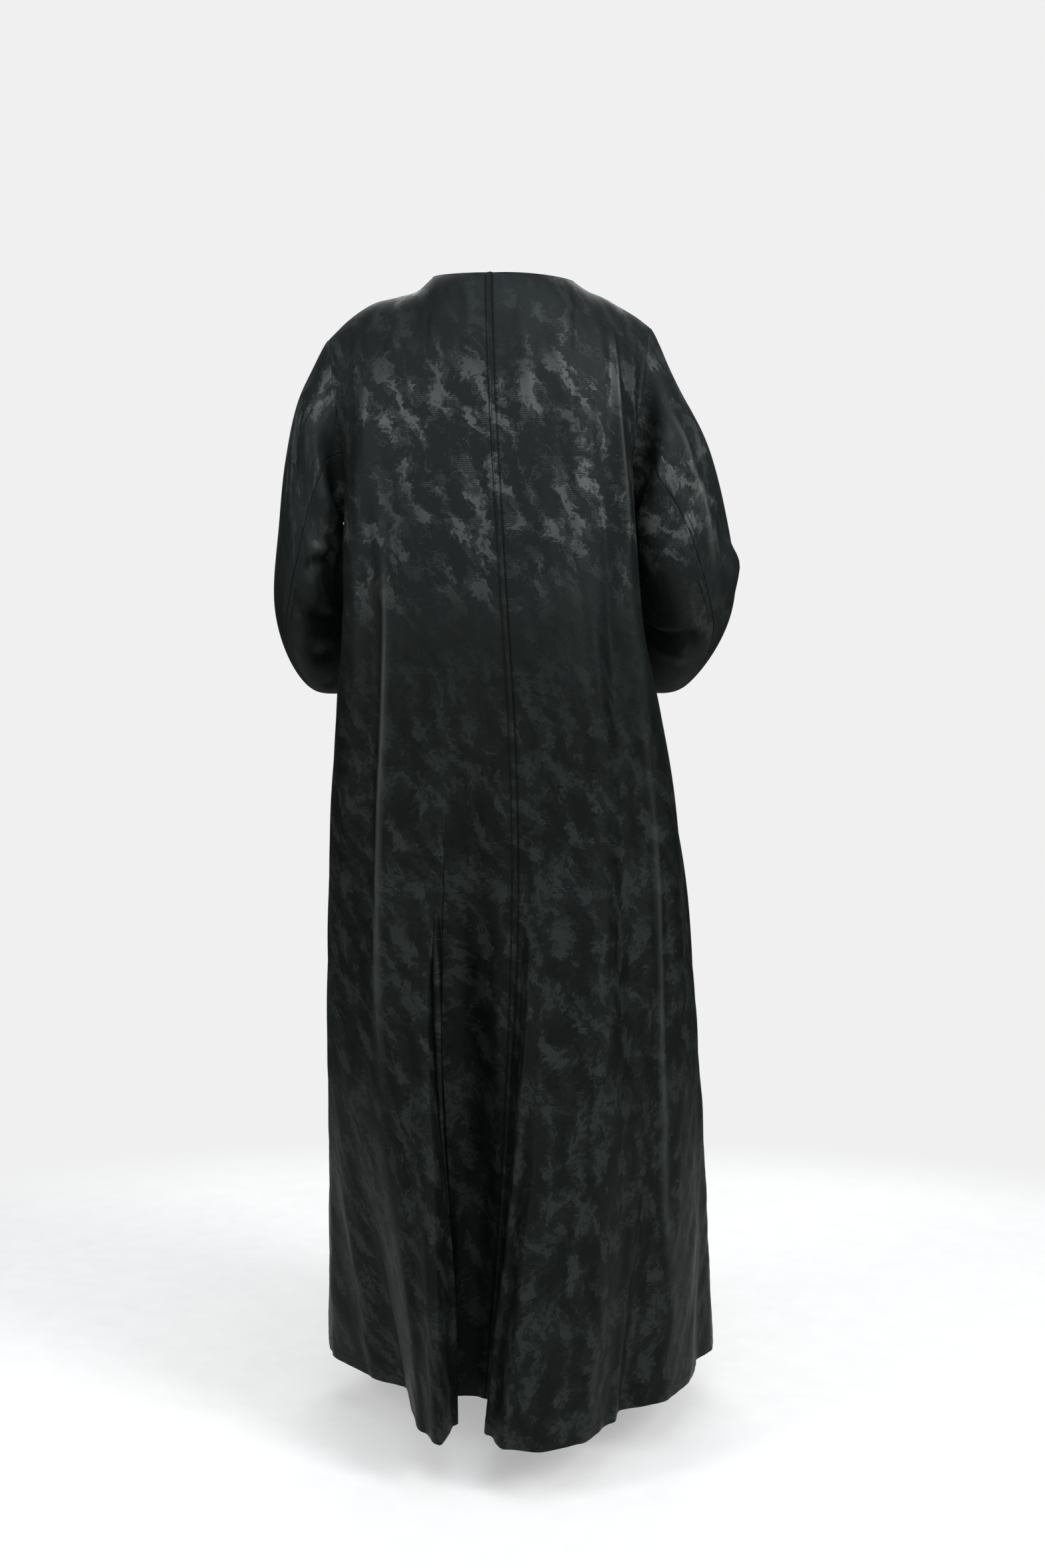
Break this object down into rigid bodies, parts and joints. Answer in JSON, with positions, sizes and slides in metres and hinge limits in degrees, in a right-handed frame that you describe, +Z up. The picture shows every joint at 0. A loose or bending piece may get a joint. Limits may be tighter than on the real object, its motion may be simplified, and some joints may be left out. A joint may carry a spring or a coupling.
{
  "type": "abaya cloak",
  "caption": "Long loose black abaya cloak in tonal jacquard, as it hangs on its wearer, with a felled centre-back seam, a lapped front and bent set-in sleeves.",
  "frame": {"origin": "middle of the neck opening, where the cloak rests on the neck and shoulders", "axes": "+Z up, -Y towards the front of the cloak, +X towards the wearer's left"},
  "size_m": [0.5822, 0.5346, 1.4123],
  "materials": {
    "jacquard": "black tonal jacquard, satin figure on a matt ground"
  },
  "bodies": {
    "root": {"back_left": "jacquard", "back_right": "jacquard", "front_left": "jacquard", "front_right": "jacquard", "sleeve_left_upper": "jacquard", "sleeve_left_under": "jacquard", "sleeve_right_upper": "jacquard", "sleeve_right_under": "jacquard"}
  },
  "joints": []
}
